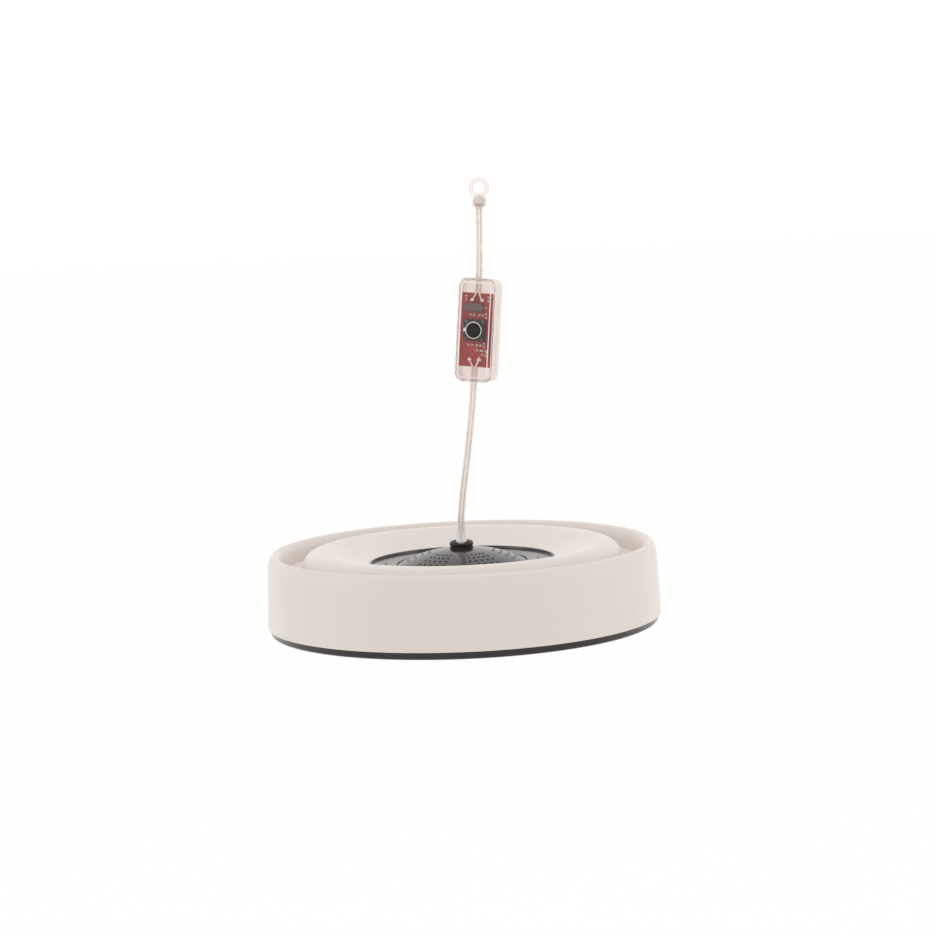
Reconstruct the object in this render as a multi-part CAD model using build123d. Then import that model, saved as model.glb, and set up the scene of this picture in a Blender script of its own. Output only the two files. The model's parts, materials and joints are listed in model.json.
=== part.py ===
from build123d import *
import math
import os

# Hanging electric insect zapper: a ring-shaped milk-white lamp body with a dark
# vented centre, hung on a clear twin cord with an in-line switch.
# Lamp dimensions are in a lamp frame: z = 0 is the underside, x = y = 0 the axis.
# LAMP_X and LAMP_Z then move the lamp so that the hanging eye is at the origin.

# ---- driving dimensions, millimetres ----
BODY_R = 109.8            # outer wall of the lamp at its lower edge
RIM_H = 4.3               # height of the dark base rim
WALL = 2.2                # thickness of the milk-white mouldings
OUTER_CREST_R = 104.9
OUTER_CREST_Z = 44.3
OUTER_ROUND = (3.6, 8.3)  # horizontal and vertical reach of the outer rounding
CHANNEL_Z = 33.6          # floor of the channel between the two rings
CHANNEL_OUT_R = 100.6
INNER_WALL_R = 89.1
INNER_CREST_R = 79.0
INNER_CREST_Z = 45.1
INNER_ROUND_H = 8.6
DISH_CREST_ROUND = 16.0
PLATE_R = 51.8            # edge where the dish meets the centre plate
PLATE_Z = 36.9
LEDGE_R = 41.0
LEDGE_Z = 33.3
STEP_R = 42.5             # step between the two flats of the centre plate
DOME_BASE_R = 36.0
DOME_SPHERE_R = 80.0
DOME_TOP_Z = 43.8
SPOT_Z = 43.1             # flat seat of the cord gland on the dome
DOME_T = 1.6
HOLE_R = 0.75             # one perforation of the dome
HOLE_ROWS = [18.2, 22.2, 26.2, 30.2, 34.2]
HOLE_COLUMNS = [-15.4, -7.7, 0.0, 7.7, 15.4]
SECTORS = 6
SECTOR_START = -65.0
COLLAR_R = 50.2           # inside of the insect chamber
COLLAR_TOP_Z = 24.0
BOSS_R = 100.5            # circle of the base screws
BASE_SCREWS = 6
GRID_Z = 14.0
GRID_WIRE_R = 0.7
SPOKE_R = 0.85
PEG_R = 0.5
LIVE_RINGS = [10.0, 18.0, 26.0, 34.0, 42.0]
EARTH_RINGS = [14.0, 22.0, 30.0, 38.0]
POST_R = 45.5             # circle of the ceramic grid posts
GRID_FEEDS = [(18.0, 0.0), (-15.56, 15.56)]  # leads down to a live and an earth ring
CORD_R = 2.0
EYE_R = 3.0
EYE_T = 5.0
CASE_SIZE = (21.8, 15.0, 57.4)
CASE_WALL = 1.1
CASE_ROUND = 2.4          # rounding of the case's front and back edges
CASE_CORNER = 5.0         # corner radius of the case seen from the front
CASE_CENTRE = (14.55, 0.0, 164.5)
CASE_LEAN = 5.3           # degrees from vertical, top towards +X
CASE_YAW = 20.0           # degrees that the switch face is turned towards -X
BOARD_SIZE = (18.0, 1.6, 40.8)
BOARD_U = -0.6            # middle of the switch board, to the right of the case's middle
BOARD_V = 2.8             # front face of the switch board, ahead of the case's middle
CORD_U = -0.3             # the cord's centre line in the case, to the right
CORD_V = 2.8              # the cord's centre line in the case, ahead
TACT = 12.0               # side of the square push switch
BUTTON_R = 3.9
BUTTON_PROUD = 1.0        # how far the button stands out of the case
LAMP_X = -17.9
LAMP_Z = -242.8

# The cord's route in the part's frame, gland to switch and switch to hanging eye.
LOWER_ROUTE = [
    (-17.9, 0.0, -204.0),
    (-17.9, 0.0, -188.0),
    (-16.2, -0.4, -170.8),
    (-12.8, -1.2, -150.0),
    (-9.9, -1.8, -130.3),
    (-7.91, -2.53, -114.03),
    (-6.5, -2.53, -98.8),
]
UPPER_ROUTE = [
    (-2.67, -2.53, -57.57),
    (-1.54, -2.53, -45.33),
    (-0.75, -2.3, -22.0),
    (-0.4, -2.25, -9.0),
]

os.makedirs("parts", exist_ok=True)


def lamp(shape):
    """Moves a shape from the lamp frame to the part's frame."""
    return Pos(LAMP_X, 0, LAMP_Z) * shape


CASE_PLACE = (
    Pos(LAMP_X + CASE_CENTRE[0], CASE_CENTRE[1], LAMP_Z + CASE_CENTRE[2])
    * Rot(0, CASE_LEAN, 0)
    * Rot(0, 0, -CASE_YAW)
)


def in_case(shape, u=0.0, v=0.0, s=0.0):
    """Places a shape u to the right, v ahead and s up from the case's middle."""
    return CASE_PLACE * Pos(u, -v, s) * shape


def turned(*edges):
    """One closed outline in the XZ plane, turned round the Z axis."""
    return revolve(make_face(Wire(edges)), Axis.Z)


def flat_outline(points):
    """Straight edges through (radius, height) points, without closing them."""
    spots = [(r, 0, z) for r, z in points]
    return [Line(a, b) for a, b in zip(spots, spots[1:])]


def turned_outline(points):
    return turned(*flat_outline(points + points[:1]))


def ring(inner_r, outer_r, low_z, high_z):
    tube = Cylinder(outer_r, high_z - low_z) - Cylinder(inner_r, high_z - low_z)
    return Pos(0, 0, (low_z + high_z) / 2) * tube


def post(radius, low_z, high_z, x=0.0, y=0.0):
    return Pos(x, y, (low_z + high_z) / 2) * Cylinder(radius, high_z - low_z)


def on_circle(shape, radius, count, start=0.0):
    """Copies of a shape on a circle round Z, each turned to face outwards."""
    step = 360 / count
    return [Rot(0, 0, start + i * step) * Pos(radius, 0, 0) * shape for i in range(count)]


def wire(points, radius, bend):
    """A round wire along straight runs with equal bends."""
    path = FilletPolyline(*points, radius=bend)
    section = Plane(origin=path @ 0, z_dir=path % 0) * Circle(radius)
    return sweep(section, path=path)


def cord(points):
    """A cord along straight runs, with every bend as wide as its two runs allow."""
    spots = [Vector(*p) for p in points]
    runs = [b - a for a, b in zip(spots, spots[1:])]
    bends = []
    for before, after in zip(runs, runs[1:]):
        half_turn = math.radians(before.get_angle(after)) / 2
        shorter = min(before.length, after.length)
        bends.append(0.45 * shorter / math.tan(half_turn))
    print("cord arc radii", [round(b) for b in bends], "diameter", 2 * CORD_R)
    path = FilletPolyline(*spots, radius=bends)
    section = Plane(origin=path @ 0, z_dir=path % 0) * Circle(CORD_R)
    tube = sweep(section, path=path)
    wanted = math.pi * CORD_R**2 * path.length
    print("cord length", round(path.length, 1), "volume over section times length", round(tube.volume / wanted, 4))
    return tube


def save(name, shape):
    solids = shape if isinstance(shape, list) else shape.solids()
    node = solids[0] if len(solids) == 1 else Compound(children=list(solids))
    export_step(node, f"parts/{name}.step")


# ---- milk-white mouldings ----
def diffuser_outer():
    """Outer wall, rounded top and the channel's outer wall, open underneath."""
    reach, rise = OUTER_ROUND
    shoulder_z = OUTER_CREST_Z - rise
    channel_reach = OUTER_CREST_R - CHANNEL_OUT_R - 0.6
    channel_z = OUTER_CREST_Z - 6.0
    wall_foot_z = 20.0
    crown = OUTER_CREST_R + reach
    shell = turned(
        Line((BODY_R, 0, RIM_H), (crown, 0, shoulder_z)),
        *quarter_ellipse(OUTER_CREST_R, shoulder_z, reach, rise, 0),
        *quarter_ellipse(OUTER_CREST_R, channel_z, channel_reach, 6.0, 90),
        *flat_outline([
            (OUTER_CREST_R - channel_reach, channel_z),
            (CHANNEL_OUT_R, wall_foot_z),
            (CHANNEL_OUT_R + WALL, wall_foot_z),
            (CHANNEL_OUT_R + WALL + 0.4, channel_z),
            (OUTER_CREST_R - 0.6, OUTER_CREST_Z - 3.4),
            (OUTER_CREST_R + 0.4, OUTER_CREST_Z - 3.4),
            (crown - WALL, shoulder_z),
            (BODY_R - WALL, RIM_H),
            (BODY_R, RIM_H),
        ]),
    )
    boss = post(3.5, 2.5, CHANNEL_Z - WALL - 0.1) - post(1.4, 2.4, 16.0)
    for one in on_circle(boss, BOSS_R, BASE_SCREWS, 30):
        shell += one
    return shell


def quarter_ellipse(r, z, reach, rise, start):
    """A quarter of an ellipse in the XZ plane from start degrees, as three arcs."""
    spots = []
    for i in range(7):
        angle = math.radians(start + 15 * i)
        spots.append((r + reach * math.cos(angle), 0, z + rise * math.sin(angle)))
    return [ThreePointArc(*spots[i:i + 3]) for i in (0, 2, 4)]


def dish_line(inset):
    """Where the dish's crest rounding ends, and the slope's height at a radius."""
    radius = DISH_CREST_ROUND - inset
    centre = Vector(INNER_CREST_R, INNER_CREST_Z - DISH_CREST_ROUND)
    away = Vector(PLATE_R, PLATE_Z) - centre
    lean = math.atan2(away.Y, away.X) - math.acos(DISH_CREST_ROUND / away.length)
    touch = centre + Vector(math.cos(lean), math.sin(lean)) * radius
    slope = -1 / math.tan(lean)
    return centre, touch, lambda r: touch.Y + slope * (r - touch.X)


def bowl_curve(inset, inner_end_r):
    """The inner ring's outer wall, crown and dish, inset from the outside surface."""
    shoulder_z = INNER_CREST_Z - INNER_ROUND_H
    wall_r = INNER_WALL_R - inset
    centre, touch, height = dish_line(inset)
    half = (Vector(0, 1) + (touch - centre).normalized()).normalized()
    middle = centre + half * (DISH_CREST_ROUND - inset)
    crest_z = INNER_CREST_Z - inset
    foot_z = CHANNEL_Z - inset
    return [
        Line((wall_r, 0, foot_z), (wall_r, 0, shoulder_z)),
        *quarter_ellipse(INNER_CREST_R, shoulder_z, wall_r - INNER_CREST_R, INNER_ROUND_H - inset, 0),
        ThreePointArc(
            (INNER_CREST_R, 0, crest_z), (middle.X, 0, middle.Y), (touch.X, 0, touch.Y)
        ),
        Line((touch.X, 0, touch.Y), (inner_end_r, 0, height(inner_end_r))),
    ]


def diffuser_inner():
    """Channel floor, inner ring and dish, with the ledge and collar below the dish."""
    collar_in = COLLAR_R + 2.2
    collar_out = collar_in + 2.0
    ledge_low = LEDGE_Z - WALL
    under = dish_line(WALL)[2](collar_out)
    upper = bowl_curve(0, PLATE_R)
    lower = bowl_curve(WALL, collar_out)
    shell = turned(
        Line((CHANNEL_OUT_R - 0.1, 0, CHANNEL_Z), (INNER_WALL_R, 0, CHANNEL_Z)),
        *upper,
        *flat_outline([
            (PLATE_R, PLATE_Z),
            (PLATE_R, LEDGE_Z),
            (LEDGE_R, LEDGE_Z),
            (LEDGE_R, ledge_low),
            (collar_in, ledge_low),
            (collar_in, 20.0),
            (collar_out, 20.0),
            (collar_out, under),
        ]),
        *lower,
        *flat_outline([
            (INNER_WALL_R - WALL, CHANNEL_Z - WALL),
            (CHANNEL_OUT_R - 0.1, CHANNEL_Z - WALL),
            (CHANNEL_OUT_R - 0.1, CHANNEL_Z),
        ]),
    )
    lead_gate = Pos(0, 53.4, 28.0) * Rot(90, 0, 0) * Cylinder(2.4, 6.0)
    for hole in on_circle(post(1.15, 30.0, 34.0), 47.0, 4, 45):
        shell -= hole
    return shell - lead_gate


# ---- dark centre ----
def centre_plate():
    """Dark plate in the dish: raised edge, outer flat, step and a slope down to the dome."""
    edge_r = PLATE_R - 0.15
    bore_r = DOME_BASE_R + 0.4
    plate = turned_outline([
        (bore_r, LEDGE_Z + 0.1),
        (edge_r, LEDGE_Z + 0.1),
        (edge_r, PLATE_Z),
        (edge_r - 0.9, PLATE_Z),
        (edge_r - 1.1, PLATE_Z - 1.2),
        (STEP_R + 0.4, PLATE_Z - 1.2),
        (STEP_R + 0.4, PLATE_Z - 1.9),
        (STEP_R - 0.3, PLATE_Z - 1.9),
        (STEP_R - 0.3, PLATE_Z - 0.7),
        (bore_r, PLATE_Z - 1.3),
    ])
    pilots = on_circle(post(0.75, 33.0, 34.3), 39.0, 4) + on_circle(post(0.75, 33.0, 34.3), 47.0, 4, 45)
    for pilot in pilots:
        plate -= pilot
    return plate


def cap_height(r, sphere_r):
    """Height of the dome's outer or inner sphere at a radius from the axis."""
    return DOME_TOP_Z - DOME_SPHERE_R + math.sqrt(sphere_r**2 - r**2)


def cap_arc(start_r, end_r, sphere_r):
    radii = (start_r, (start_r + end_r) / 2, end_r)
    return ThreePointArc(*[(r, 0, cap_height(r, sphere_r)) for r in radii])


def vent_dome():
    """Shallow dome with fans of round vents, a foot ring and a fixing flange."""
    inner_sphere_r = DOME_SPHERE_R - DOME_T
    neck_r = 4.0
    spot_r = 6.8
    foot_in = DOME_BASE_R - DOME_T
    flange_r = LEDGE_R - 0.4
    dome = turned(
        *flat_outline([
            (neck_r, cap_height(neck_r, inner_sphere_r)),
            (neck_r, SPOT_Z),
            (spot_r, SPOT_Z),
            (spot_r, cap_height(spot_r, DOME_SPHERE_R)),
        ]),
        cap_arc(spot_r, DOME_BASE_R, DOME_SPHERE_R),
        *flat_outline([
            (DOME_BASE_R, cap_height(DOME_BASE_R, DOME_SPHERE_R)),
            (DOME_BASE_R, LEDGE_Z),
            (flange_r, LEDGE_Z),
            (flange_r, LEDGE_Z - 1.5),
            (foot_in, LEDGE_Z - 1.5),
            (foot_in, cap_height(foot_in, inner_sphere_r)),
        ]),
        cap_arc(foot_in, neck_r, inner_sphere_r),
    )
    vents = []
    for sector in range(SECTORS):
        for column in HOLE_COLUMNS:
            turn = SECTOR_START + sector * 360 / SECTORS + column
            vents += [Rot(0, 0, turn) * post(HOLE_R, 36.5, 46.0, r) for r in HOLE_ROWS]
    screw_holes = on_circle(post(1.15, 31.0, 34.0), 39.0, 4)
    return dome - vents - screw_holes


def cord_gland():
    """Rubber gland: neck through the dome, collar, waist and a saddle-topped bead."""
    body = turned(
        *flat_outline([
            (2.1, 40.3), (5.6, 40.3), (5.6, 41.9), (3.9, 42.1),
            (3.9, 43.15), (6.3, 43.15), (6.4, 44.1), (5.7, 44.25), (5.7, 44.55), (6.2, 44.65),
        ]),
        ThreePointArc((6.2, 0, 44.65), (6.65, 0, 45.8), (6.0, 0, 47.0)),
        ThreePointArc((6.0, 0, 47.0), (5.1, 0, 47.4), (4.2, 0, 47.0)),
        *flat_outline([(4.2, 47.0), (2.9, 46.0), (2.1, 45.8), (2.1, 40.3)]),
    )
    saddle = Pos(0, 0, 50.2) * Rot(90, 0, 0) * Cylinder(3.9, 20)
    return body - saddle


def cord_clamp():
    clamp = ring(CORD_R + 0.05, 4.2, 38.9, 40.2)
    return clamp - Pos(4.0, 0, 39.5) * Box(1.6, 1.0, 2.0)


# ---- base and insect chamber ----
def base_pan():
    """Dark base: rounded rim, floor, seat for the outer wall and chamber collar."""
    pan = turned(
        *flat_outline([(COLLAR_R, 0.0), (BODY_R - 3.4, 0.0)]),
        ThreePointArc((BODY_R - 3.4, 0, 0), (BODY_R - 2.05, 0, 0.55), (BODY_R - 1.5, 0, 1.9)),
        *flat_outline([
            (BODY_R - 1.5, 1.9),
            (BODY_R - 0.5, RIM_H - 0.05),
            (BODY_R - WALL - 0.3, RIM_H - 0.05),
            (BODY_R - WALL - 0.3, 9.0),
            (BODY_R - 4.4, 9.0),
            (BODY_R - 4.4, 2.4),
            (COLLAR_R + 2.0, 2.4),
            (COLLAR_R + 2.0, COLLAR_TOP_Z),
            (COLLAR_R, COLLAR_TOP_Z),
            (COLLAR_R, 0.0),
        ]),
    )
    screw_way = post(1.6, -1.0, 3.0) + post(3.1, -1.0, 1.3)
    for hole in on_circle(screw_way, BOSS_R, BASE_SCREWS, 30):
        pan -= hole
    board_post = post(3.0, 2.0, 6.0) - post(1.1, 3.0, 7.0)
    for one in on_circle(board_post, 75.0, 6, 15):
        pan += one
    return pan


def base_seal():
    """Flat rubber ring between the base pan and the channel's bosses."""
    return ring(BODY_R - 5.6, BODY_R - 4.5, 2.45, 5.0)


def base_screw():
    head = post(2.8, 0.2, 1.25) - post(0.9, 0.0, 0.8)
    return head + post(1.35, 1.2, 14.0)


def led_board():
    board = ring(60.0, 90.0, 6.0, 7.6)
    for hole in on_circle(post(1.3, 5.0, 9.0), 75.0, 6, 15):
        board -= hole
    return board


def led_chips():
    chip = Pos(0, 0, 8.3) * Box(5.0, 5.0, 1.4) - post(2.0, 8.8, 9.2)
    return on_circle(chip, 67.0, 30) + on_circle(chip, 83.0, 36, 5)


def led_screws():
    screw = post(2.3, 7.6, 9.2) + post(1.05, 3.4, 7.8) - post(1.0, 8.5, 9.4)
    return on_circle(screw, 75.0, 6, 15)


def chamber_roof():
    """Disc over the insect chamber that carries the voltage board and the posts."""
    roof = post(COLLAR_R + 1.95, COLLAR_TOP_Z + 0.02, COLLAR_TOP_Z + 1.6)
    for one in on_circle(post(3.0, 25.0, 27.6), 29.0, 3, 30):
        roof += one
    for hole in on_circle(post(0.9, 24.6, 28.0), 29.0, 3, 30):
        roof -= hole
    for vent in on_circle(post(1.8, 23.0, 27.0), 39.5, 24, 7.5):
        roof -= vent
    for x, y in GRID_FEEDS:
        roof -= post(1.2, 23.0, 27.0, x, y)
    return roof


def grid(rings, spoke_z, start, stud_top):
    """Rings of wire in one plane, joined by three spokes on short pegs."""
    peg_low, peg_high = sorted((GRID_Z, spoke_z))
    rod_start = rings[0] - 1.5
    rod_end = POST_R + 1.5
    rod = Rot(0, 90, 0) * Cylinder(SPOKE_R, rod_end - rod_start)
    spoke = [Pos((rod_end + rod_start) / 2, 0, spoke_z) * rod]
    spoke.append(post(GRID_WIRE_R, spoke_z, stud_top, POST_R))
    spoke += [post(PEG_R, peg_low, peg_high, r) for r in rings]
    pieces = [Pos(0, 0, GRID_Z) * Rot(0, 0, start + 60) * Torus(r, GRID_WIRE_R) for r in rings]
    for i in range(3):
        pieces += [Rot(0, 0, start + 120 * i) * one for one in spoke]
    return Part() + pieces


def grid_posts():
    """Ceramic posts under the chamber roof, blind-drilled for the grids' studs."""
    live = post(2.6, 18.5, COLLAR_TOP_Z) - post(GRID_WIRE_R + 0.05, 17.0, 22.6)
    earth = post(2.6, 16.0, COLLAR_TOP_Z) - post(GRID_WIRE_R + 0.05, 15.0, 22.6)
    return on_circle(live, POST_R, 3, 30) + on_circle(earth, POST_R, 3, 90)


def catch_tray():
    """Pull-down tray: rim, floor with chimney slots, and a recessed grip."""
    tray = ring(47.6, COLLAR_R - 0.5, 0.4, 8.5) + post(48.0, 0.4, 2.2)
    slot = Box(12.0, 4.4, 20.0)
    chimney = Pos(0, 0, 3.4) * Box(14.4, 6.8, 6.0)
    for one in on_circle(chimney, 34.0, 16):
        tray += one
    for one in on_circle(slot, 34.0, 16):
        tray -= one
    well = post(15.6, 0.4, 8.0) - post(14.0, 0.0, 6.4)
    tray = tray - post(14.0, 0.0, 6.4) + well
    grip = Pos(0, 0, 3.2) * Box(28.6, 3.0, 5.6)
    return tray + grip


# ---- voltage board and wiring ----
def hv_board():
    board = post(34.0, 27.6, 29.2)
    for hole in on_circle(post(1.1, 27.0, 30.0), 29.0, 3, 30):
        board -= hole
    return board


def board_screws():
    screw = post(1.9, 29.2, 30.5) + post(0.85, 25.4, 29.4) - post(0.8, 30.0, 31.0)
    return on_circle(screw, 29.0, 3, 30)


def hv_transformer():
    core = Pos(11.0, 0, 32.7) * Box(15.0, 12.0, 7.0)
    window = Pos(11.0, 0, 32.7) * Box(9.0, 20.0, 4.0)
    winding = Pos(11.0, 0, 32.7) * Box(8.6, 15.0, 3.6)
    return core - window + winding


def hv_capacitors():
    can = fillet(Cylinder(4.0, 5.4).edges(), 0.6)
    spots = [(-12.0, -14.0), (-21.0, -7.0), (-22.0, 5.0), (-13.0, 13.0)]
    return [Pos(x, y, 31.9) * can for x, y in spots]


def hv_resistors():
    body = Rot(0, 90, 0) * fillet(Cylinder(1.2, 6.4).edges(), 0.5)
    leg = post(0.3, -1.35, 0.2, 2.6) + post(0.3, -1.35, 0.2, -2.6)
    part = body + leg
    spots = [(4.0, -20.0, 0), (4.0, -24.0, 0), (14.0, 19.0, 40), (18.0, -17.0, 90)]
    return [Pos(x, y, 30.6) * Rot(0, 0, turn) * part for x, y, turn in spots]


def supply_leads():
    leads = []
    for side in (-1, 1):
        x = side * 0.95
        points = [(x, 0, 38.8), (x, 0, 34.4), (x * 2, -7.0, 33.4), (x * 2, -7.0, 29.2)]
        leads.append(wire(points, 0.7, 1.4))
    return leads


def led_leads():
    leads = []
    for x in (-1.1, 1.1):
        points = [
            (x, 29.5, 29.25), (x, 29.5, 30.6), (x, 36.0, 30.6), (x, 40.0, 28.0),
            (x, 58.0, 28.0), (x, 62.0, 10.5), (x, 62.0, 7.65),
        ]
        leads.append(wire(points, 0.6, 1.2))
    return leads


def grid_leads():
    return [post(0.5, GRID_Z + 0.72, 27.6, x, y) for x, y in GRID_FEEDS]


# ---- in-line switch ----
def case_block(inset):
    width, depth, height = (side - 2 * inset for side in CASE_SIZE)
    block = Box(width, depth, height)
    block = fillet(block.edges().filter_by(Axis.Y), CASE_CORNER - inset)
    rims = block.edges().group_by(Axis.Y)
    return fillet(rims[0] + rims[-1], CASE_ROUND - inset)


def case_halves():
    """Clear front and back shells, with cord holes and the button's hole in front."""
    width, depth, height = CASE_SIZE
    shell = case_block(0) - case_block(CASE_WALL)
    front_side = Pos(0, -depth / 2, 0) * Box(2 * width, depth - 0.04, 2 * height)
    back_side = Pos(0, depth / 2, 0) * Box(2 * width, depth - 0.04, 2 * height)
    cord_way = Pos(CORD_U, -CORD_V, 0) * Cylinder(CORD_R + 0.15, 2 * height)
    button_way = Pos(BOARD_U, -depth / 2, 0) * Rot(90, 0, 0) * Cylinder(BUTTON_R + 0.9, 3.0)
    front = shell & front_side
    front = front - cord_way - button_way
    back = shell & back_side
    board_low = BOARD_V - BOARD_SIZE[1]
    for s in (-17.0, 17.0):
        rib_depth = depth / 2 - CASE_WALL / 2 + board_low
        rib = Pos(BOARD_U, rib_depth / 2 - board_low, s) * Box(12.0, rib_depth - 0.04, 1.2)
        back += rib & back_side
    return in_case(front), in_case(back)


def on_board(shape, u=0.0, ahead=0.0, s=0.0):
    """Places a shape from the middle of the switch board's front face."""
    return in_case(shape, BOARD_U + u, BOARD_V + ahead, s)


def switch_board():
    return on_board(Box(*BOARD_SIZE), ahead=-BOARD_SIZE[1] / 2)


def tact_block(size, low, high, hole_r):
    block = Box(size, high - low, size)
    hole = Rot(90, 0, 0) * Cylinder(hole_r, 2 * (high - low))
    return on_board(block - hole, ahead=(low + high) / 2)


def switch_body():
    base = on_board(Box(TACT, 2.2, TACT), ahead=1.1)
    return base + tact_block(TACT, 2.15, 3.2, BUTTON_R + 0.15)


def switch_cover():
    """Metal plate with a raised ring round the button and four corner rivets."""
    low = 3.22
    plate = tact_block(TACT - 0.4, low, low + 0.25, BUTTON_R + 0.15)
    rim = Rot(90, 0, 0) * (Cylinder(BUTTON_R + 0.75, 1.2) - Cylinder(BUTTON_R + 0.15, 2.0))
    plate += on_board(rim, ahead=low + 0.6)
    rivet = Rot(90, 0, 0) * Cylinder(0.8, 0.3)
    for u in (-1, 1):
        for s in (-1, 1):
            plate += on_board(rivet, u * 4.8, low + 0.2, s * 4.8)
    return plate


def switch_button():
    low = 2.6
    high = CASE_SIZE[1] / 2 + BUTTON_PROUD - BOARD_V
    cap = Cylinder(BUTTON_R, high - low)
    cap = fillet(cap.edges().group_by(Axis.Z)[-1], 0.5)
    return on_board(Rot(90, 0, 0) * cap, ahead=(low + high) / 2)


def crystal_can():
    can = extrude(SlotOverall(11.8, 4.8), 2.9)
    can = fillet(can.edges().group_by(Axis.Z)[-1], 0.5)
    return on_board(Rot(90, 0, 0) * can, u=-1.3, s=12.4)


def chip_parts():
    """Small surface-mounted parts round the push switch."""
    spots = [
        (-2.5, 8.2, 0), (2.6, 8.2, 0), (5.6, 8.0, 1), (-2.9, -8.4, 0), (2.1, -8.4, 0), (5.2, -8.2, 1),
        (2.3, -11.2, 0), (5.4, -11.2, 0), (5.4, -13.4, 0), (6.9, -13.0, 1), (-6.6, 17.4, 1), (6.4, 17.4, 1),
    ]
    parts = []
    for u, s, upright in spots:
        size = (0.9, 0.6, 1.7) if upright else (1.7, 0.6, 0.9)
        parts.append(on_board(Box(*size), u, 0.3, s))
    return parts


def conductor_tails():
    """Bared ends of both cords, splayed from each jacket to their solder pads."""
    tails = []
    for end in (-1, 1):
        for side in (-1, 1):
            points = [
                (CORD_U + side * 0.9, -BOARD_V - 1.0, end * 20.5),
                (CORD_U + side * 1.2, -BOARD_V - 1.0, end * 19.4),
                (BOARD_U + side * 2.7, -BOARD_V - 0.6, end * 16.6),
            ]
            tails.append(CASE_PLACE * wire(points, 0.5, 0.8))
    return tails


def solder_joints():
    dome = Sphere(1.3) & Pos(0, 0, 1.0) * Box(4, 4, 2.0)
    joints = []
    for end in (-1, 1):
        for side in (-1, 1):
            joints.append(on_board(Rot(90, 0, 0) * dome, side * 2.8, 0.0, end * 16.4))
    return joints


# ---- hanging eye and inlet ----
EYE_LEAN = math.degrees(math.atan2(0.4, 9.0))


def hanging_eye():
    """Clear moulded eye with a cord sleeve below and an inlet barrel behind."""
    loop = Rot(90, 0, 0) * (Cylinder(5.8, EYE_T) - Cylinder(EYE_R, 2 * EYE_T))
    neck = Pos(-0.2, -1.1, -6.6) * Box(7.6, 7.2, 5.0)
    sleeve = Pos(-0.3, -2.25, -7.9) * Rot(0, EYE_LEAN, 0) * Cylinder(3.5, 5.0)
    barrel = Pos(-0.2, 3.0, -7.6) * Rot(90, 0, 0) * Cylinder(4.2, 9.0)
    body = loop + (neck - Rot(90, 0, 0) * Cylinder(5.0, 20)) + sleeve + barrel
    cord_way = Pos(-0.4, -2.25, -9.0) * Rot(0, EYE_LEAN, 0) * Pos(0, 0, -1.9) * Cylinder(CORD_R + 0.15, 4.0)
    socket_way = Pos(-0.2, 4.0, -7.6) * Rot(90, 0, 0) * Cylinder(3.3, 7.2)
    return body - cord_way - socket_way


def inlet_socket():
    """Metal barrel of the supply inlet with its centre pin."""
    barrel = Cylinder(3.25, 6.8) - Pos(0, 0, 0.8) * Cylinder(2.8, 6.8)
    pin = Pos(0, 0, -0.4) * Cylinder(0.85, 5.6)
    return Pos(-0.2, 4.1, -7.6) * Rot(-90, 0, 0) * (barrel + pin)


front, back = case_halves()
save("diffuser_outer", lamp(diffuser_outer()))
save("diffuser_inner", lamp(diffuser_inner()))
save("centre_plate", lamp(centre_plate()))
save("vent_dome", lamp(vent_dome()))
save("cord_gland", lamp(cord_gland()))
save("cord_clamp", lamp(cord_clamp()))
save("base_pan", lamp(base_pan()))
save("base_seal", lamp(base_seal()))
save("base_screws", [lamp(s) for s in on_circle(base_screw(), BOSS_R, BASE_SCREWS, 30)])
save("led_board", lamp(led_board()))
save("led_chips", [lamp(s) for s in led_chips()])
save("led_screws", [lamp(s) for s in led_screws()])
save("chamber_roof", lamp(chamber_roof()))
save("live_grid", lamp(grid(LIVE_RINGS, GRID_Z + 3.0, 30, 22.0)))
save("earth_grid", lamp(grid(EARTH_RINGS, GRID_Z - 3.0, 90, 22.0)))
save("grid_posts", [lamp(s) for s in grid_posts()])
save("catch_tray", lamp(catch_tray()))
save("hv_board", lamp(hv_board()))
save("board_screws", [lamp(s) for s in board_screws()])
save("hv_transformer", lamp(hv_transformer()))
save("hv_capacitors", [lamp(s) for s in hv_capacitors()])
save("hv_resistors", [lamp(s) for s in hv_resistors()])
save("supply_leads", [lamp(s) for s in supply_leads()])
save("led_leads", [lamp(s) for s in led_leads()])
save("grid_leads", [lamp(s) for s in grid_leads()])
save("case_front", front)
save("case_back", back)
save("switch_board", switch_board())
save("switch_body", switch_body())
save("switch_cover", switch_cover())
save("switch_button", switch_button())
save("crystal_can", crystal_can())
save("chip_parts", chip_parts())
save("conductor_tails", conductor_tails())
save("solder_joints", solder_joints())
save("lower_cord", cord(LOWER_ROUTE))
save("upper_cord", cord(UPPER_ROUTE))
save("hanging_eye", hanging_eye())
save("inlet_socket", inlet_socket())
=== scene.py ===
import json
import math
import bmesh
import bpy
from mathutils import Matrix, Vector


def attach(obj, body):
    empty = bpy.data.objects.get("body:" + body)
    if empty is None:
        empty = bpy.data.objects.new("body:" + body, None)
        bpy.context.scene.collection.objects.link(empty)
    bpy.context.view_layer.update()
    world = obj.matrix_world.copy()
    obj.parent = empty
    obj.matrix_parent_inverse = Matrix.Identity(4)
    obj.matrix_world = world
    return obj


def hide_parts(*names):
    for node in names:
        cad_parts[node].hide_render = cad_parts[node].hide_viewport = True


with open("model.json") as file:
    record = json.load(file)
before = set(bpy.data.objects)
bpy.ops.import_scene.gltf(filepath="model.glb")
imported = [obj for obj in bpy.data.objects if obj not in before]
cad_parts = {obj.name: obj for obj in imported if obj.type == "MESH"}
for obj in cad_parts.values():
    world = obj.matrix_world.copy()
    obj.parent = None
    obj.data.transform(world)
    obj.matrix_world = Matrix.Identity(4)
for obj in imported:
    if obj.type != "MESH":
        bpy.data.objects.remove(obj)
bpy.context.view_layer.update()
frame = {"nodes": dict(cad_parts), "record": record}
nodes = frame["nodes"]

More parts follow.
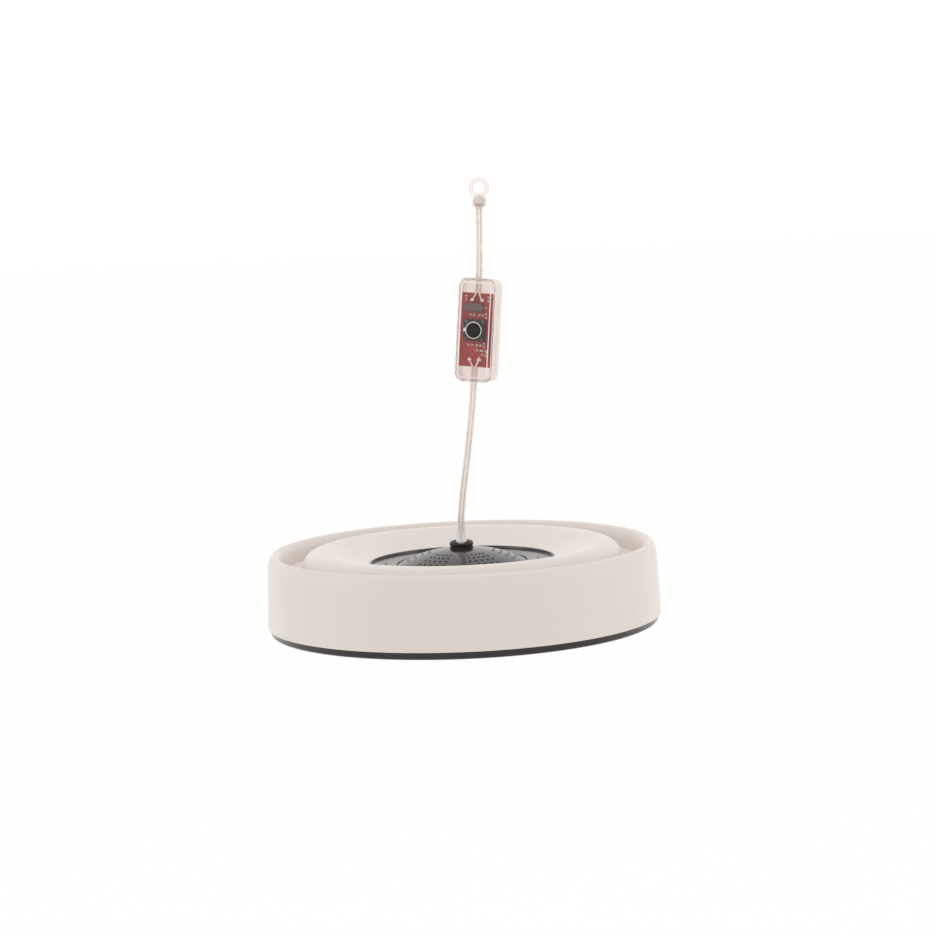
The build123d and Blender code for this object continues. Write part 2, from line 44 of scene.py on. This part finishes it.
AXIS = Vector((-0.0179, 0.0, -0.2428))      # the lamp's axis at its underside
CASE_CENTRE = AXIS + Vector((0.01455, 0.0, 0.1645))
CASE_TURN = (
    Matrix.Translation(CASE_CENTRE)
    @ Matrix.Rotation(math.radians(5.3), 4, "Y")
    @ Matrix.Rotation(math.radians(-20), 4, "Z")
)
GLAND_TOP = AXIS.z + 0.0474
CORD_WIDTH = 0.004
CORD_THICK = 0.0021
LOWER_ROUTE = [
    (-0.0179, 0.0, -0.204),
    (-0.0179, 0.0, -0.188),
    (-0.0162, -0.0004, -0.1708),
    (-0.0128, -0.0012, -0.15),
    (-0.0099, -0.0018, -0.1303),
    (-0.00791, -0.00253, -0.11403),
    (-0.0065, -0.00253, -0.0988),
]
UPPER_ROUTE = [
    (-0.00267, -0.00253, -0.05757),
    (-0.00154, -0.00253, -0.04533),
    (-0.00075, -0.0023, -0.022),
    (-0.0004, -0.00225, -0.009),
]


# ---- materials ----
def plain_material(name, colour, **sockets):
    """A Principled material. Sockets are given by name with _ for a space."""
    material = bpy.data.materials.new(name)
    material.use_nodes = True
    shader = material.node_tree.nodes["Principled BSDF"]
    shader.inputs["Base Color"].default_value = (*colour, 1)
    for socket, value in sockets.items():
        shader.inputs[socket.replace("_", " ")].default_value = value
    return material


def add_noise(material, scale, stretch=(1, 1, 1), detail=4.0):
    """Noise over the object's own coordinates. Returns its value socket."""
    tree = material.node_tree
    place = tree.nodes.new("ShaderNodeTexCoord")
    mapping = tree.nodes.new("ShaderNodeMapping")
    mapping.inputs["Scale"].default_value = stretch
    noise = tree.nodes.new("ShaderNodeTexNoise")
    noise.inputs["Scale"].default_value = scale
    noise.inputs["Detail"].default_value = detail
    tree.links.new(place.outputs["Object"], mapping.inputs["Vector"])
    tree.links.new(mapping.outputs["Vector"], noise.inputs["Vector"])
    return noise.outputs["Fac"]


def vary_colour(material, value, dark, light):
    """Colour from dark to light as the noise value goes through its usual range."""
    tree = material.node_tree
    ramp = tree.nodes.new("ShaderNodeValToRGB")
    ramp.color_ramp.elements[0].position = 0.3
    ramp.color_ramp.elements[1].position = 0.7
    ramp.color_ramp.elements[0].color = (*dark, 1)
    ramp.color_ramp.elements[1].color = (*light, 1)
    tree.links.new(value, ramp.inputs["Fac"])
    tree.links.new(ramp.outputs["Color"], tree.nodes["Principled BSDF"].inputs["Base Color"])


def vary_roughness(material, value, low, high):
    tree = material.node_tree
    spread = tree.nodes.new("ShaderNodeMapRange")
    spread.inputs["From Min"].default_value = 0.3
    spread.inputs["From Max"].default_value = 0.7
    spread.inputs["To Min"].default_value = low
    spread.inputs["To Max"].default_value = high
    tree.links.new(value, spread.inputs["Value"])
    tree.links.new(spread.outputs["Result"], tree.nodes["Principled BSDF"].inputs["Roughness"])


def add_bump(material, value, height):
    """Relief of that height, in metres, from a noise value."""
    tree = material.node_tree
    bump = tree.nodes.new("ShaderNodeBump")
    bump.inputs["Distance"].default_value = height
    tree.links.new(value, bump.inputs["Height"])
    tree.links.new(bump.outputs["Normal"], tree.nodes["Principled BSDF"].inputs["Normal"])


def shaded(colour, share):
    return tuple(min(1.0, c * share) for c in colour)


def moulded(
    name, colour, roughness, grain=2500, relief=0.00001, spread=0.04, mottle=60, uneven=0.06, **sockets
):
    """Moulded plastic or rubber: faint mottling, uneven gloss and a fine grain."""
    material = plain_material(name, colour, **sockets)
    vary_colour(
        material, add_noise(material, mottle), shaded(colour, 1 - spread), shaded(colour, 1 + spread)
    )
    vary_roughness(material, add_noise(material, mottle * 3), roughness - uneven, roughness + uneven)
    add_bump(material, add_noise(material, grain, detail=2.0), relief)
    return material


def metal(name, colour, roughness, brush=(1, 1, 1), grain=900, relief=0.000004):
    """Metal with a fine brushed or cast surface and slightly uneven tarnish."""
    material = plain_material(name, colour, Metallic=1.0)
    vary_colour(material, add_noise(material, 250), shaded(colour, 0.88), shaded(colour, 1.06))
    fine = add_noise(material, grain, stretch=brush)
    vary_roughness(material, fine, roughness - 0.07, roughness + 0.09)
    add_bump(material, fine, relief)
    return material


def clear(name, colour, roughness, ior, milk, grain=300, relief=0.000004):
    """Clear moulded plastic, milkier where it is seen edge on, under a glossy skin."""
    material = plain_material(name, colour, IOR=ior, Coat_Weight=0.35, Coat_Roughness=0.05, Coat_IOR=1.5)
    vary_colour(material, add_noise(material, 90), shaded(colour, 0.985), shaded(colour, 1.01))
    vary_roughness(material, add_noise(material, 200), roughness * 0.6, roughness * 1.5)
    add_bump(material, add_noise(material, grain, detail=1.0), relief)
    tree = material.node_tree
    edge = tree.nodes.new("ShaderNodeLayerWeight")
    edge.inputs["Blend"].default_value = 0.35
    spread = tree.nodes.new("ShaderNodeMapRange")
    spread.inputs["From Min"].default_value = 0.15
    spread.inputs["From Max"].default_value = 0.8
    spread.inputs["To Min"].default_value = 1 - milk[0]
    spread.inputs["To Max"].default_value = 1 - milk[1]
    tree.links.new(edge.outputs["Facing"], spread.inputs["Value"])
    tree.links.new(
        spread.outputs["Result"], tree.nodes["Principled BSDF"].inputs["Transmission Weight"]
    )
    return material


def cloud_foot(material, level, reach, least):
    """Cloudy at a level, and as clear as before from a reach above it."""
    tree = material.node_tree
    clearness = tree.nodes["Principled BSDF"].inputs["Transmission Weight"]
    before = clearness.links[0].from_socket
    place = tree.nodes.new("ShaderNodeTexCoord")
    axes = tree.nodes.new("ShaderNodeSeparateXYZ")
    fade = tree.nodes.new("ShaderNodeMapRange")
    fade.inputs["From Min"].default_value = level
    fade.inputs["From Max"].default_value = level + reach
    fade.inputs["To Min"].default_value = least
    both = tree.nodes.new("ShaderNodeMath")
    both.operation = "MULTIPLY"
    tree.links.new(place.outputs["Object"], axes.inputs["Vector"])
    tree.links.new(axes.outputs["Z"], fade.inputs["Value"])
    tree.links.new(before, both.inputs[0])
    tree.links.new(fade.outputs["Result"], both.inputs[1])
    tree.links.new(both.outputs["Value"], clearness)


MILK = (0.475, 0.431, 0.396)
finish = {
    "milk_plastic": moulded(
        "milk_plastic", MILK, 0.36, grain=1400, relief=0.000004, spread=0.012, mottle=25,
        Subsurface_Weight=0.4, Subsurface_Radius=(1.0, 0.86, 0.74), Subsurface_Scale=0.003,
        # Painted glow: this faint emission lightens the diffuser everywhere as though lit from within, including the
        # shaded channel between the rings. It stands in for light carried through the translucent walls, not light from
        # the lamp's LEDs.
        Emission_Color=(1.0, 0.91, 0.845, 1), Emission_Strength=0.2,
    ),
    "dark_plastic": moulded(
        "dark_plastic", (0.026, 0.020, 0.019), 0.17, relief=0.0000015, uneven=0.015, IOR=1.58
    ),
    "black_rubber": moulded("black_rubber", (0.018, 0.015, 0.012), 0.44, grain=1800, spread=0.2, IOR=1.4),
    "white_nylon": moulded("white_nylon", (0.74, 0.72, 0.66), 0.42),
    "steel": metal("steel", (0.62, 0.61, 0.6), 0.3),
    "white_board": moulded("white_board", (0.8, 0.8, 0.77), 0.35, mottle=40),
    "led_chip": moulded("led_chip", (0.8, 0.72, 0.38), 0.3),
    "steel_wire": metal("steel_wire", (0.56, 0.56, 0.57), 0.28),
    "ceramic": moulded("ceramic", (0.82, 0.8, 0.75), 0.2, relief=0.000006),
    "green_board": moulded("green_board", (0.02, 0.16, 0.05), 0.28),
    "ferrite": moulded("ferrite", (0.03, 0.03, 0.033), 0.6, relief=0.00003),
    "capacitor_blue": moulded("capacitor_blue", (0.02, 0.07, 0.36), 0.28),
    "resistor_tan": moulded("resistor_tan", (0.5, 0.32, 0.16), 0.35),
    "lead_wire": moulded("lead_wire", (0.45, 0.02, 0.015), 0.36),
    "clear_plastic": clear("clear_plastic", (0.90, 0.84, 0.81), 0.06, 1.09, (0.02, 0.4)),
    "red_board": moulded("red_board", (0.43, 0.022, 0.027), 0.3, grain=1500, mottle=110, spread=0.22),
    "black_plastic": moulded("black_plastic", (0.014, 0.008, 0.006), 0.38, spread=0.1, IOR=1.38),
    "steel_can": metal("steel_can", (0.2, 0.16, 0.155), 0.45),
    "chip_black": moulded("chip_black", (0.03, 0.028, 0.027), 0.5, spread=0.15, mottle=600),
    "copper": metal("copper", (0.93, 0.85, 0.77), 0.3),
    "solder": metal("solder", (0.95, 0.94, 0.92), 0.3),
    "clear_cord": clear("clear_cord", (0.93, 0.885, 0.855), 0.08, 1.25, (0.08, 0.6), grain=1200),
    "nickel": metal("nickel", (0.86, 0.83, 0.79), 0.2),
}
cloud_foot(finish["clear_cord"], GLAND_TOP, 0.014, 0.0)
slot_of = {part["node"]: part["material_slot"] for part in frame["record"]["subparts"]}
for name, node in nodes.items():
    node.material_slots[0].material = finish[slot_of[name]]
rim_plastic = moulded(
    "rim_plastic", (0.016, 0.010, 0.010), 0.2, relief=0.0000015, uneven=0.015, IOR=1.45
)
nodes["base_pan"].material_slots[0].material = rim_plastic
nodes["chip_parts"].material_slots[0].material = moulded(
    "chip_beige", (0.36, 0.25, 0.19), 0.4, spread=0.3, mottle=400
)


# ---- camera, light and floor ----
def make_camera():
    data = bpy.data.cameras.new("camera")
    data.sensor_width = 36.0
    data.lens = 107.9
    data.clip_end = 50.0
    camera = bpy.data.objects.new("camera", data)
    camera.matrix_world = (
        Matrix.Translation((-0.0130, -1.54625, 0.02458))
        @ Matrix.Rotation(math.radians(83.4), 4, "X")
        @ Matrix.Rotation(math.radians(-2.41), 4, "Z")
    )
    bpy.context.scene.collection.objects.link(camera)
    bpy.context.scene.camera = camera


def make_light(name, place, target, size, power):
    data = bpy.data.lights.new(name, "AREA")
    data.shape = "DISK"
    data.size = size
    data.energy = power
    light = bpy.data.objects.new(name, data)
    light.location = place
    light.rotation_euler = (Vector(target) - Vector(place)).to_track_quat("-Z", "Y").to_euler()
    bpy.context.scene.collection.objects.link(light)


def make_world(strength):
    world = bpy.data.worlds.new("studio")
    world.use_nodes = True
    background = world.node_tree.nodes["Background"]
    background.inputs["Color"].default_value = (1.0, 0.996, 0.992, 1)
    background.inputs["Strength"].default_value = strength
    bpy.context.scene.world = world


def make_floor(level, reach):
    mesh = bpy.data.meshes.new("floor")
    corners = [(-reach, -reach, level), (reach, -reach, level), (reach, reach, level), (-reach, reach, level)]
    mesh.from_pydata(corners, [], [(0, 1, 2, 3)])
    floor = bpy.data.objects.new("floor", mesh)
    mesh.materials.append(plain_material("floor", (0.96, 0.96, 0.96), Roughness=0.9))
    bpy.context.scene.collection.objects.link(floor)


make_camera()
make_world(1.04)
make_light("left_softbox", (-1.9, -0.5, 0.3), AXIS, 1.2, 3)
make_light("right_softbox", (1.9, -0.5, 0.3), AXIS, 1.2, 3)
make_light("top_softbox", (0.0, -0.2, 1.8), AXIS, 1.4, 0.8)
make_floor(-1.9, 60.0)
bpy.context.scene.view_settings.view_transform = "Standard"


# ---- cords ----
def new_piece(name, mesh, slot, body="lamp"):
    """A finished mesh as a piece that rides on a body and takes a slot's finish."""
    piece = bpy.data.objects.new(name, mesh)
    mesh.materials.append(finish[slot])
    bpy.context.scene.collection.objects.link(piece)
    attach(piece, body)
    return piece


def smooth_line(route):
    """Points read from the route's NURBS spline."""
    curve = bpy.data.curves.new("route", "CURVE")
    curve.dimensions = "3D"
    spline = curve.splines.new("NURBS")
    spline.points.add(len(route) - 1)
    for point, place in zip(spline.points, route):
        point.co = (*place, 1)
    spline.order_u = 3
    spline.use_endpoint_u = True
    spline.resolution_u = 24
    holder = bpy.data.objects.new("route", curve)
    mesh = bpy.data.meshes.new_from_object(holder)
    line = [v.co.copy() for v in mesh.vertices]
    bpy.data.objects.remove(holder)
    bpy.data.curves.remove(curve)
    bpy.data.meshes.remove(mesh)
    return line


def frames_along(line):
    """A place, a sideways and a forwards direction at each point of a line."""
    found = []
    for i, place in enumerate(line):
        along = (line[min(i + 1, len(line) - 1)] - line[max(i - 1, 0)]).normalized()
        side = (Vector((1, 0, 0)) - along * along.x).normalized()
        found.append((place, side, along.cross(side)))
    return found


def tube(line_frames, outlines):
    """One skin over an outline per frame, closed at both ends."""
    mesh = bmesh.new()
    rings = []
    for (place, side, front), outline in zip(line_frames, outlines):
        rings.append([mesh.verts.new(place + side * x + front * y) for x, y in outline])
    count = len(rings[0])
    for before, after in zip(rings, rings[1:]):
        for i in range(count):
            j = (i + 1) % count
            mesh.faces.new((before[i], before[j], after[j], after[i]))
    mesh.faces.new(list(reversed(rings[0])))
    mesh.faces.new(rings[-1])
    return mesh


def finished(mesh, name, angle=40):
    """The mesh data, smooth shaded except across edges sharper than the angle."""
    bmesh.ops.recalc_face_normals(mesh, faces=mesh.faces)
    for face in mesh.faces:
        face.smooth = True
    for edge in mesh.edges:
        edge.smooth = len(edge.link_faces) == 2 and edge.calc_face_angle() < math.radians(angle)
    data = bpy.data.meshes.new(name)
    mesh.to_mesh(data)
    mesh.free()
    return data


def twin_outline(steps=14):
    """A flat twin cord's section: two round lobes side by side with a valley between."""
    lobe = CORD_THICK / 2
    apart = CORD_WIDTH / 2 - lobe
    valley = math.acos(-apart / lobe)
    outline = []
    for sign in (1, -1):
        for i in range(steps):
            turn = valley * (2 * i / steps - 1)
            outline.append((sign * (apart + lobe * math.cos(turn)), sign * lobe * math.sin(turn)))
    return outline


def strand_mesh(line, offset, lay_radius, strand_radius, pitch):
    """A twisted bundle of seven wires that follows a line at a sideways offset."""
    bundle = bmesh.new()
    frames = frames_along(line)
    travelled = [0.0]
    for a, b in zip(line, line[1:]):
        travelled.append(travelled[-1] + (b - a).length)
    for strand in range(7):
        rings = []
        for (place, side, front), run in zip(frames, travelled):
            turn = 2 * math.pi * (run / pitch + strand / 6)
            reach = 0 if strand == 6 else lay_radius
            centre = place + side * (offset + reach * math.cos(turn)) + front * reach * math.sin(turn)
            ring = []
            for k in range(8):
                a = 2 * math.pi * k / 8
                spot = centre + side * strand_radius * math.cos(a) + front * strand_radius * math.sin(a)
                ring.append(bundle.verts.new(spot))
            rings.append(ring)
        for before, after in zip(rings, rings[1:]):
            for k in range(8):
                bundle.faces.new((before[k], before[(k + 1) % 8], after[(k + 1) % 8], after[k]))
        bundle.faces.new(list(reversed(rings[0])))
        bundle.faces.new(rings[-1])
    return bundle


def evenly(line, step):
    """The line again, with its points about a step apart."""
    points = [line[0]]
    for a, b in zip(line, line[1:]):
        parts = max(1, round((b - a).length / step))
        points += [a.lerp(b, (i + 1) / parts) for i in range(parts)]
    return points


def flared(line, start, reach, growth):
    """The cord's outline at each point, wider up to a reach above its exit."""
    outlines = []
    for place in line:
        share = max(0.0, 1 - max(0.0, place.z - start) / reach)
        widen = 1 + growth * share * share
        outlines.append([(x * widen, y * widen) for x, y in twin_outline()])
    return outlines


def make_cord(name, route, node, growth=0.0, **facts):
    line = smooth_line(route)
    outlines = flared(line, GLAND_TOP, 0.011, growth)
    jacket = new_piece(name, finished(tube(frames_along(line), outlines), name), "clear_cord")
    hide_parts(node)
    inner = evenly(line, 0.0007)
    wires = []
    for side, label in ((-1, "left"), (1, "right")):
        bundle = strand_mesh(inner, side * 0.00098, 0.00032, 0.00017, 0.011)
        wires.append(new_piece(f"{name}_{label}_wire", finished(bundle, f"{name}_{label}_wire"), "copper"))
    facts["with_pieces"] = wires + facts["with_pieces"]
    return jacket


# ---- base rim ----
def quarter(radius, steps=10):
    """The base's lower rounding, from its flat underside up to its side."""
    turns = [math.pi / 2 * i / steps for i in range(steps + 1)]
    return [(RIM_FLAT_R + radius * math.sin(a), RIM_ROUND - radius * math.cos(a)) for a in turns]


def make_rim_skin(steps=360):
    """A truly round skin on the base pan's rim, thin and closed."""
    outer = quarter(RIM_ROUND + SKIN_PROUD) + [(RIM_TOP_R + SKIN_PROUD, RIM_TOP_Z)]
    inner = [(RIM_TOP_R - SKIN_DEEP, RIM_TOP_Z)] + quarter(RIM_ROUND - SKIN_DEEP)[::-1]
    skin = bmesh.new()
    rings = []
    for i in range(steps):
        turn = 2 * math.pi * i / steps
        rings.append([
            skin.verts.new(AXIS + Vector((r * math.cos(turn), r * math.sin(turn), z))) for r, z in outer + inner
        ])
    for before, after in zip(rings, rings[1:] + rings[:1]):
        for k in range(len(before)):
            j = (k + 1) % len(before)
            skin.faces.new((before[k], before[j], after[j], after[k]))
    piece = new_piece("base_rim_skin", finished(skin, "base_rim_skin"), "dark_plastic")
    piece.data.materials[0] = rim_plastic
    return piece


RIM_ROUND = 0.0019
RIM_FLAT_R = 0.1064
RIM_TOP_R = 0.1093
RIM_TOP_Z = 0.00425
SKIN_PROUD = 0.00003
SKIN_DEEP = 0.00012
make_rim_skin()


# ---- switch and board details ----
def add_block(mesh, u, v, s, size, bevel=0.0):
    """A box with bevelled edges, by its middle and its width, depth and height."""
    made = bmesh.ops.create_cube(mesh, size=1.0)
    place = CASE_TURN @ Matrix.Translation((u, -v, s)) @ Matrix.Diagonal((*size, 1))
    bmesh.ops.transform(mesh, matrix=place, verts=made["verts"])
    if bevel:
        edges = {edge for vert in made["verts"] for edge in vert.link_edges}
        bmesh.ops.bevel(mesh, geom=list(edges), offset=bevel, segments=2, affect="EDGES")


def add_turned(mesh, u, s, profile, steps=40):
    """A closed profile of (radius, ahead) points turned round the front's direction."""
    rings = []
    for i in range(steps):
        turn = 2 * math.pi * i / steps
        rings.append([
            mesh.verts.new(CASE_TURN @ Vector((u + r * math.cos(turn), -v, s + r * math.sin(turn))))
            for r, v in profile
        ])
    for before, after in zip(rings, rings[1:] + rings[:1]):
        for k in range(len(profile)):
            j = (k + 1) % len(profile)
            mesh.faces.new((before[k], before[j], after[j], after[k]))


def add_dome(mesh, u, v, s, radius, rise, steps=16, levels=5):
    """A low dome that rises ahead from a flat foot."""
    rings = []
    for level in range(levels):
        lift = math.pi / 2 * level / levels
        r = radius * math.cos(lift)
        ahead = v + rise * math.sin(lift)
        rings.append([
            mesh.verts.new(CASE_TURN @ Vector((u + r * math.cos(a), -ahead, s + r * math.sin(a))))
            for a in (2 * math.pi * i / steps for i in range(steps))
        ])
    for before, after in zip(rings, rings[1:]):
        for k in range(steps):
            j = (k + 1) % steps
            mesh.faces.new((before[k], before[j], after[j], after[k]))
    top = mesh.verts.new(CASE_TURN @ Vector((u, -(v + rise), s)))
    for k in range(steps):
        mesh.faces.new((rings[-1][k], rings[-1][(k + 1) % steps], top))
    mesh.faces.new(list(reversed(rings[0])))


def make_switch_top():
    """Black top of the push switch, its four rivets and the bright ring."""
    top = bmesh.new()
    add_turned_square(top)
    plate = new_piece("switch_top_plate", finished(top, "switch_top_plate"), "black_plastic", "lamp")
    heads = bmesh.new()
    for u in (-RIVET_AT, RIVET_AT):
        for s in (-RIVET_AT, RIVET_AT):
            add_dome(heads, BOARD_U + u, TOP_V - 0.00003, s, 0.0009, 0.00035)
    rivets = new_piece("switch_rivets", finished(heads, "switch_rivets"), "steel_can", "lamp")
    ring = bmesh.new()
    inner, outer = BUTTON_R + 0.00017, BUTTON_R + 0.0009
    middle = (inner + outer) / 2
    profile = [
        (inner, TOP_V), (outer, TOP_V), (outer, TOP_V + 0.0006),
        (middle + 0.00014, TOP_V + 0.00085), (middle - 0.00014, TOP_V + 0.00085), (inner, TOP_V + 0.0006),
    ]
    add_turned(ring, BOARD_U, 0.0, profile, steps=72)
    bright = new_piece("switch_bright_ring", finished(ring, "switch_bright_ring"), "nickel", "lamp")
    for piece in (plate, rivets, bright):
        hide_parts("switch_cover")
    return plate, rivets, bright


def add_turned_square(mesh):
    """A square sheet with a round hole, from a ring of quads between the two."""
    half = TACT_HALF
    steps = 48
    rows = []
    for i in range(steps):
        turn = 2 * math.pi * i / steps
        c, d = math.cos(turn), math.sin(turn)
        reach = half / max(abs(c), abs(d))
        hole = BUTTON_R + 0.00015
        rows.append([
            mesh.verts.new(CASE_TURN @ Vector((BOARD_U + r * c, -v, r * d)))
            for r, v in ((hole, TOP_V - 0.0003), (reach, TOP_V - 0.0003), (reach, TOP_V - 0.00005), (reach * 0.985, TOP_V), (hole, TOP_V))
        ])
    for before, after in zip(rows, rows[1:] + rows[:1]):
        for k in range(5):
            j = (k + 1) % 5
            mesh.faces.new((before[k], before[j], after[j], after[k]))


CHIPS = [
    (-2.5, 8.2, 0), (2.6, 8.2, 0), (5.6, 8.0, 1), (-2.9, -8.4, 0), (2.1, -8.4, 0), (5.2, -8.2, 1),
    (2.3, -11.2, 0), (5.4, -11.2, 0), (5.4, -13.4, 0), (6.9, -13.0, 1), (-6.6, 17.4, 1), (6.4, 17.4, 1),
]


def make_board_metal():
    """Tinned pads under the small parts, bare test points and the corner dots."""
    pads = bmesh.new()
    for u, s, upright in CHIPS:
        for sign in (-1, 1):
            du, ds = (0, sign * 0.00095) if upright else (sign * 0.00095, 0)
            size = (0.0010, 0.0003, 0.0009) if upright else (0.0009, 0.0003, 0.0010)
            add_block(pads, BOARD_U + u / 1000 + du, BOARD_FRONT + 0.0001, s / 1000 + ds, size, 0.00008)
    for u, s, r in ((5.0, 12.6, 0.55), (5.6, 7.2, 0.65), (-3.4, -8.7, 0.42), (2.6, -8.7, 0.42), (2.6, -15.0, 0.4)):
        add_dome(pads, BOARD_U + u / 1000, BOARD_FRONT, s / 1000, r / 1000, 0.0002)
    return new_piece("board_tinned_pads", finished(pads, "board_tinned_pads"), "solder", "lamp")


def make_board_back():
    """Solder points on the back of the board, under the switch's legs and the can."""
    points = bmesh.new()
    legs = [(u, s, 0.9) for u in (-6.2, 6.2) for s in (-2.5, 2.5)]
    for u, s, r in legs + [(-3.7, 12.4, 0.65), (1.1, 12.4, 0.65)]:
        add_dome(points, BOARD_U + u / 1000, BOARD_BACK, s / 1000, r / 1000, -0.0005)
    return new_piece("board_back_solder", finished(points, "board_back_solder"), "solder", "lamp")


def make_cover_tab():
    """Bright tab that folds from the switch's ring down its left side."""
    tab = bmesh.new()
    add_block(tab, BOARD_U - 0.00595, TOP_V - 0.0011, 0.0, (0.0003, 0.0024, 0.0019), 0.0001)
    add_block(tab, BOARD_U - 0.0055, TOP_V + 0.00005, 0.0, (0.0012, 0.00025, 0.0019), 0.0001)
    return new_piece("switch_cover_tab", finished(tab, "switch_cover_tab"), "nickel", "lamp")


def make_front_ridge_highlight():
    """A fine moulded ridge round the flat of the case's front, partly a real ridge and partly a painted highlight: its
    pale opaque plastic draws the bright lines along the front's rounded edges.
    """
    half_w, half_h, corner, steps = 0.0085, 0.0263, 0.0026, 10
    line = []
    for start, cu, cs in ((0, 1, 1), (90, -1, 1), (180, -1, -1), (270, 1, -1)):
        for i in range(steps + 1):
            turn = math.radians(start + 90 * i / steps)
            u = cu * (half_w - corner) + corner * math.cos(turn)
            h = cs * (half_h - corner) + corner * math.sin(turn)
            line.append((u, h, math.cos(turn), math.sin(turn)))
    ridge = bmesh.new()
    section = [(-0.00026, 0.0), (-0.00018, 0.00016), (0.0, 0.00022), (0.00018, 0.00016), (0.00026, 0.0), (0.0, -0.0001)]
    rings = [
        [
            ridge.verts.new(CASE_TURN @ Vector((u + out * c, -(0.0075 + rise), h + out * d)))
            for out, rise in section
        ]
        for u, h, c, d in line
    ]
    for before, after in zip(rings, rings[1:] + rings[:1]):
        for k in range(len(section)):
            j = (k + 1) % len(section)
            ridge.faces.new((before[k], before[j], after[j], after[k]))
    piece = new_piece("case_front_ridge_highlight", finished(ridge, "case_front_ridge_highlight"), "clear_plastic", "lamp")
    # Painted highlight: pale opaque plastic instead of the clear case material, so the ridge shows as a bright line
    # over the board.
    piece.data.materials[0] = moulded("ridge_highlight_plastic", (0.90, 0.85, 0.83), 0.25, relief=0.000002)
    return piece


TACT_HALF = 0.0058
RIVET_AT = 0.0048
BUTTON_R = 0.0039
BOARD_U = -0.0006
BOARD_FRONT = 0.0028
BOARD_BACK = BOARD_FRONT - 0.0016
TOP_V = BOARD_FRONT + 0.0035
DETAILS = [
    *make_switch_top(), make_board_metal(), make_board_back(), make_cover_tab(), make_front_ridge_highlight(),
]

# ---- the two cords ----
SWITCH_NODES = [
    "case_front", "case_back", "switch_board", "switch_body", "switch_cover", "crystal_can",
    "chip_parts", "conductor_tails", "solder_joints",
]
make_cord(
    "cord_to_lamp", LOWER_ROUTE, "lower_cord", growth=0.5,
    exit=AXIS + Vector((0, 0, 0.0474)), far_end="fitting", stiffness="medium", lay="hanging",
    with_pieces=[nodes[n] for n in SWITCH_NODES] + DETAILS,
)
make_cord(
    "cord_to_eye", UPPER_ROUTE, "upper_cord",
    exit=UPPER_ROUTE[0], far_end="fitting", stiffness="medium", lay="taut",
    with_pieces=[nodes["hanging_eye"], nodes["inlet_socket"]],
)
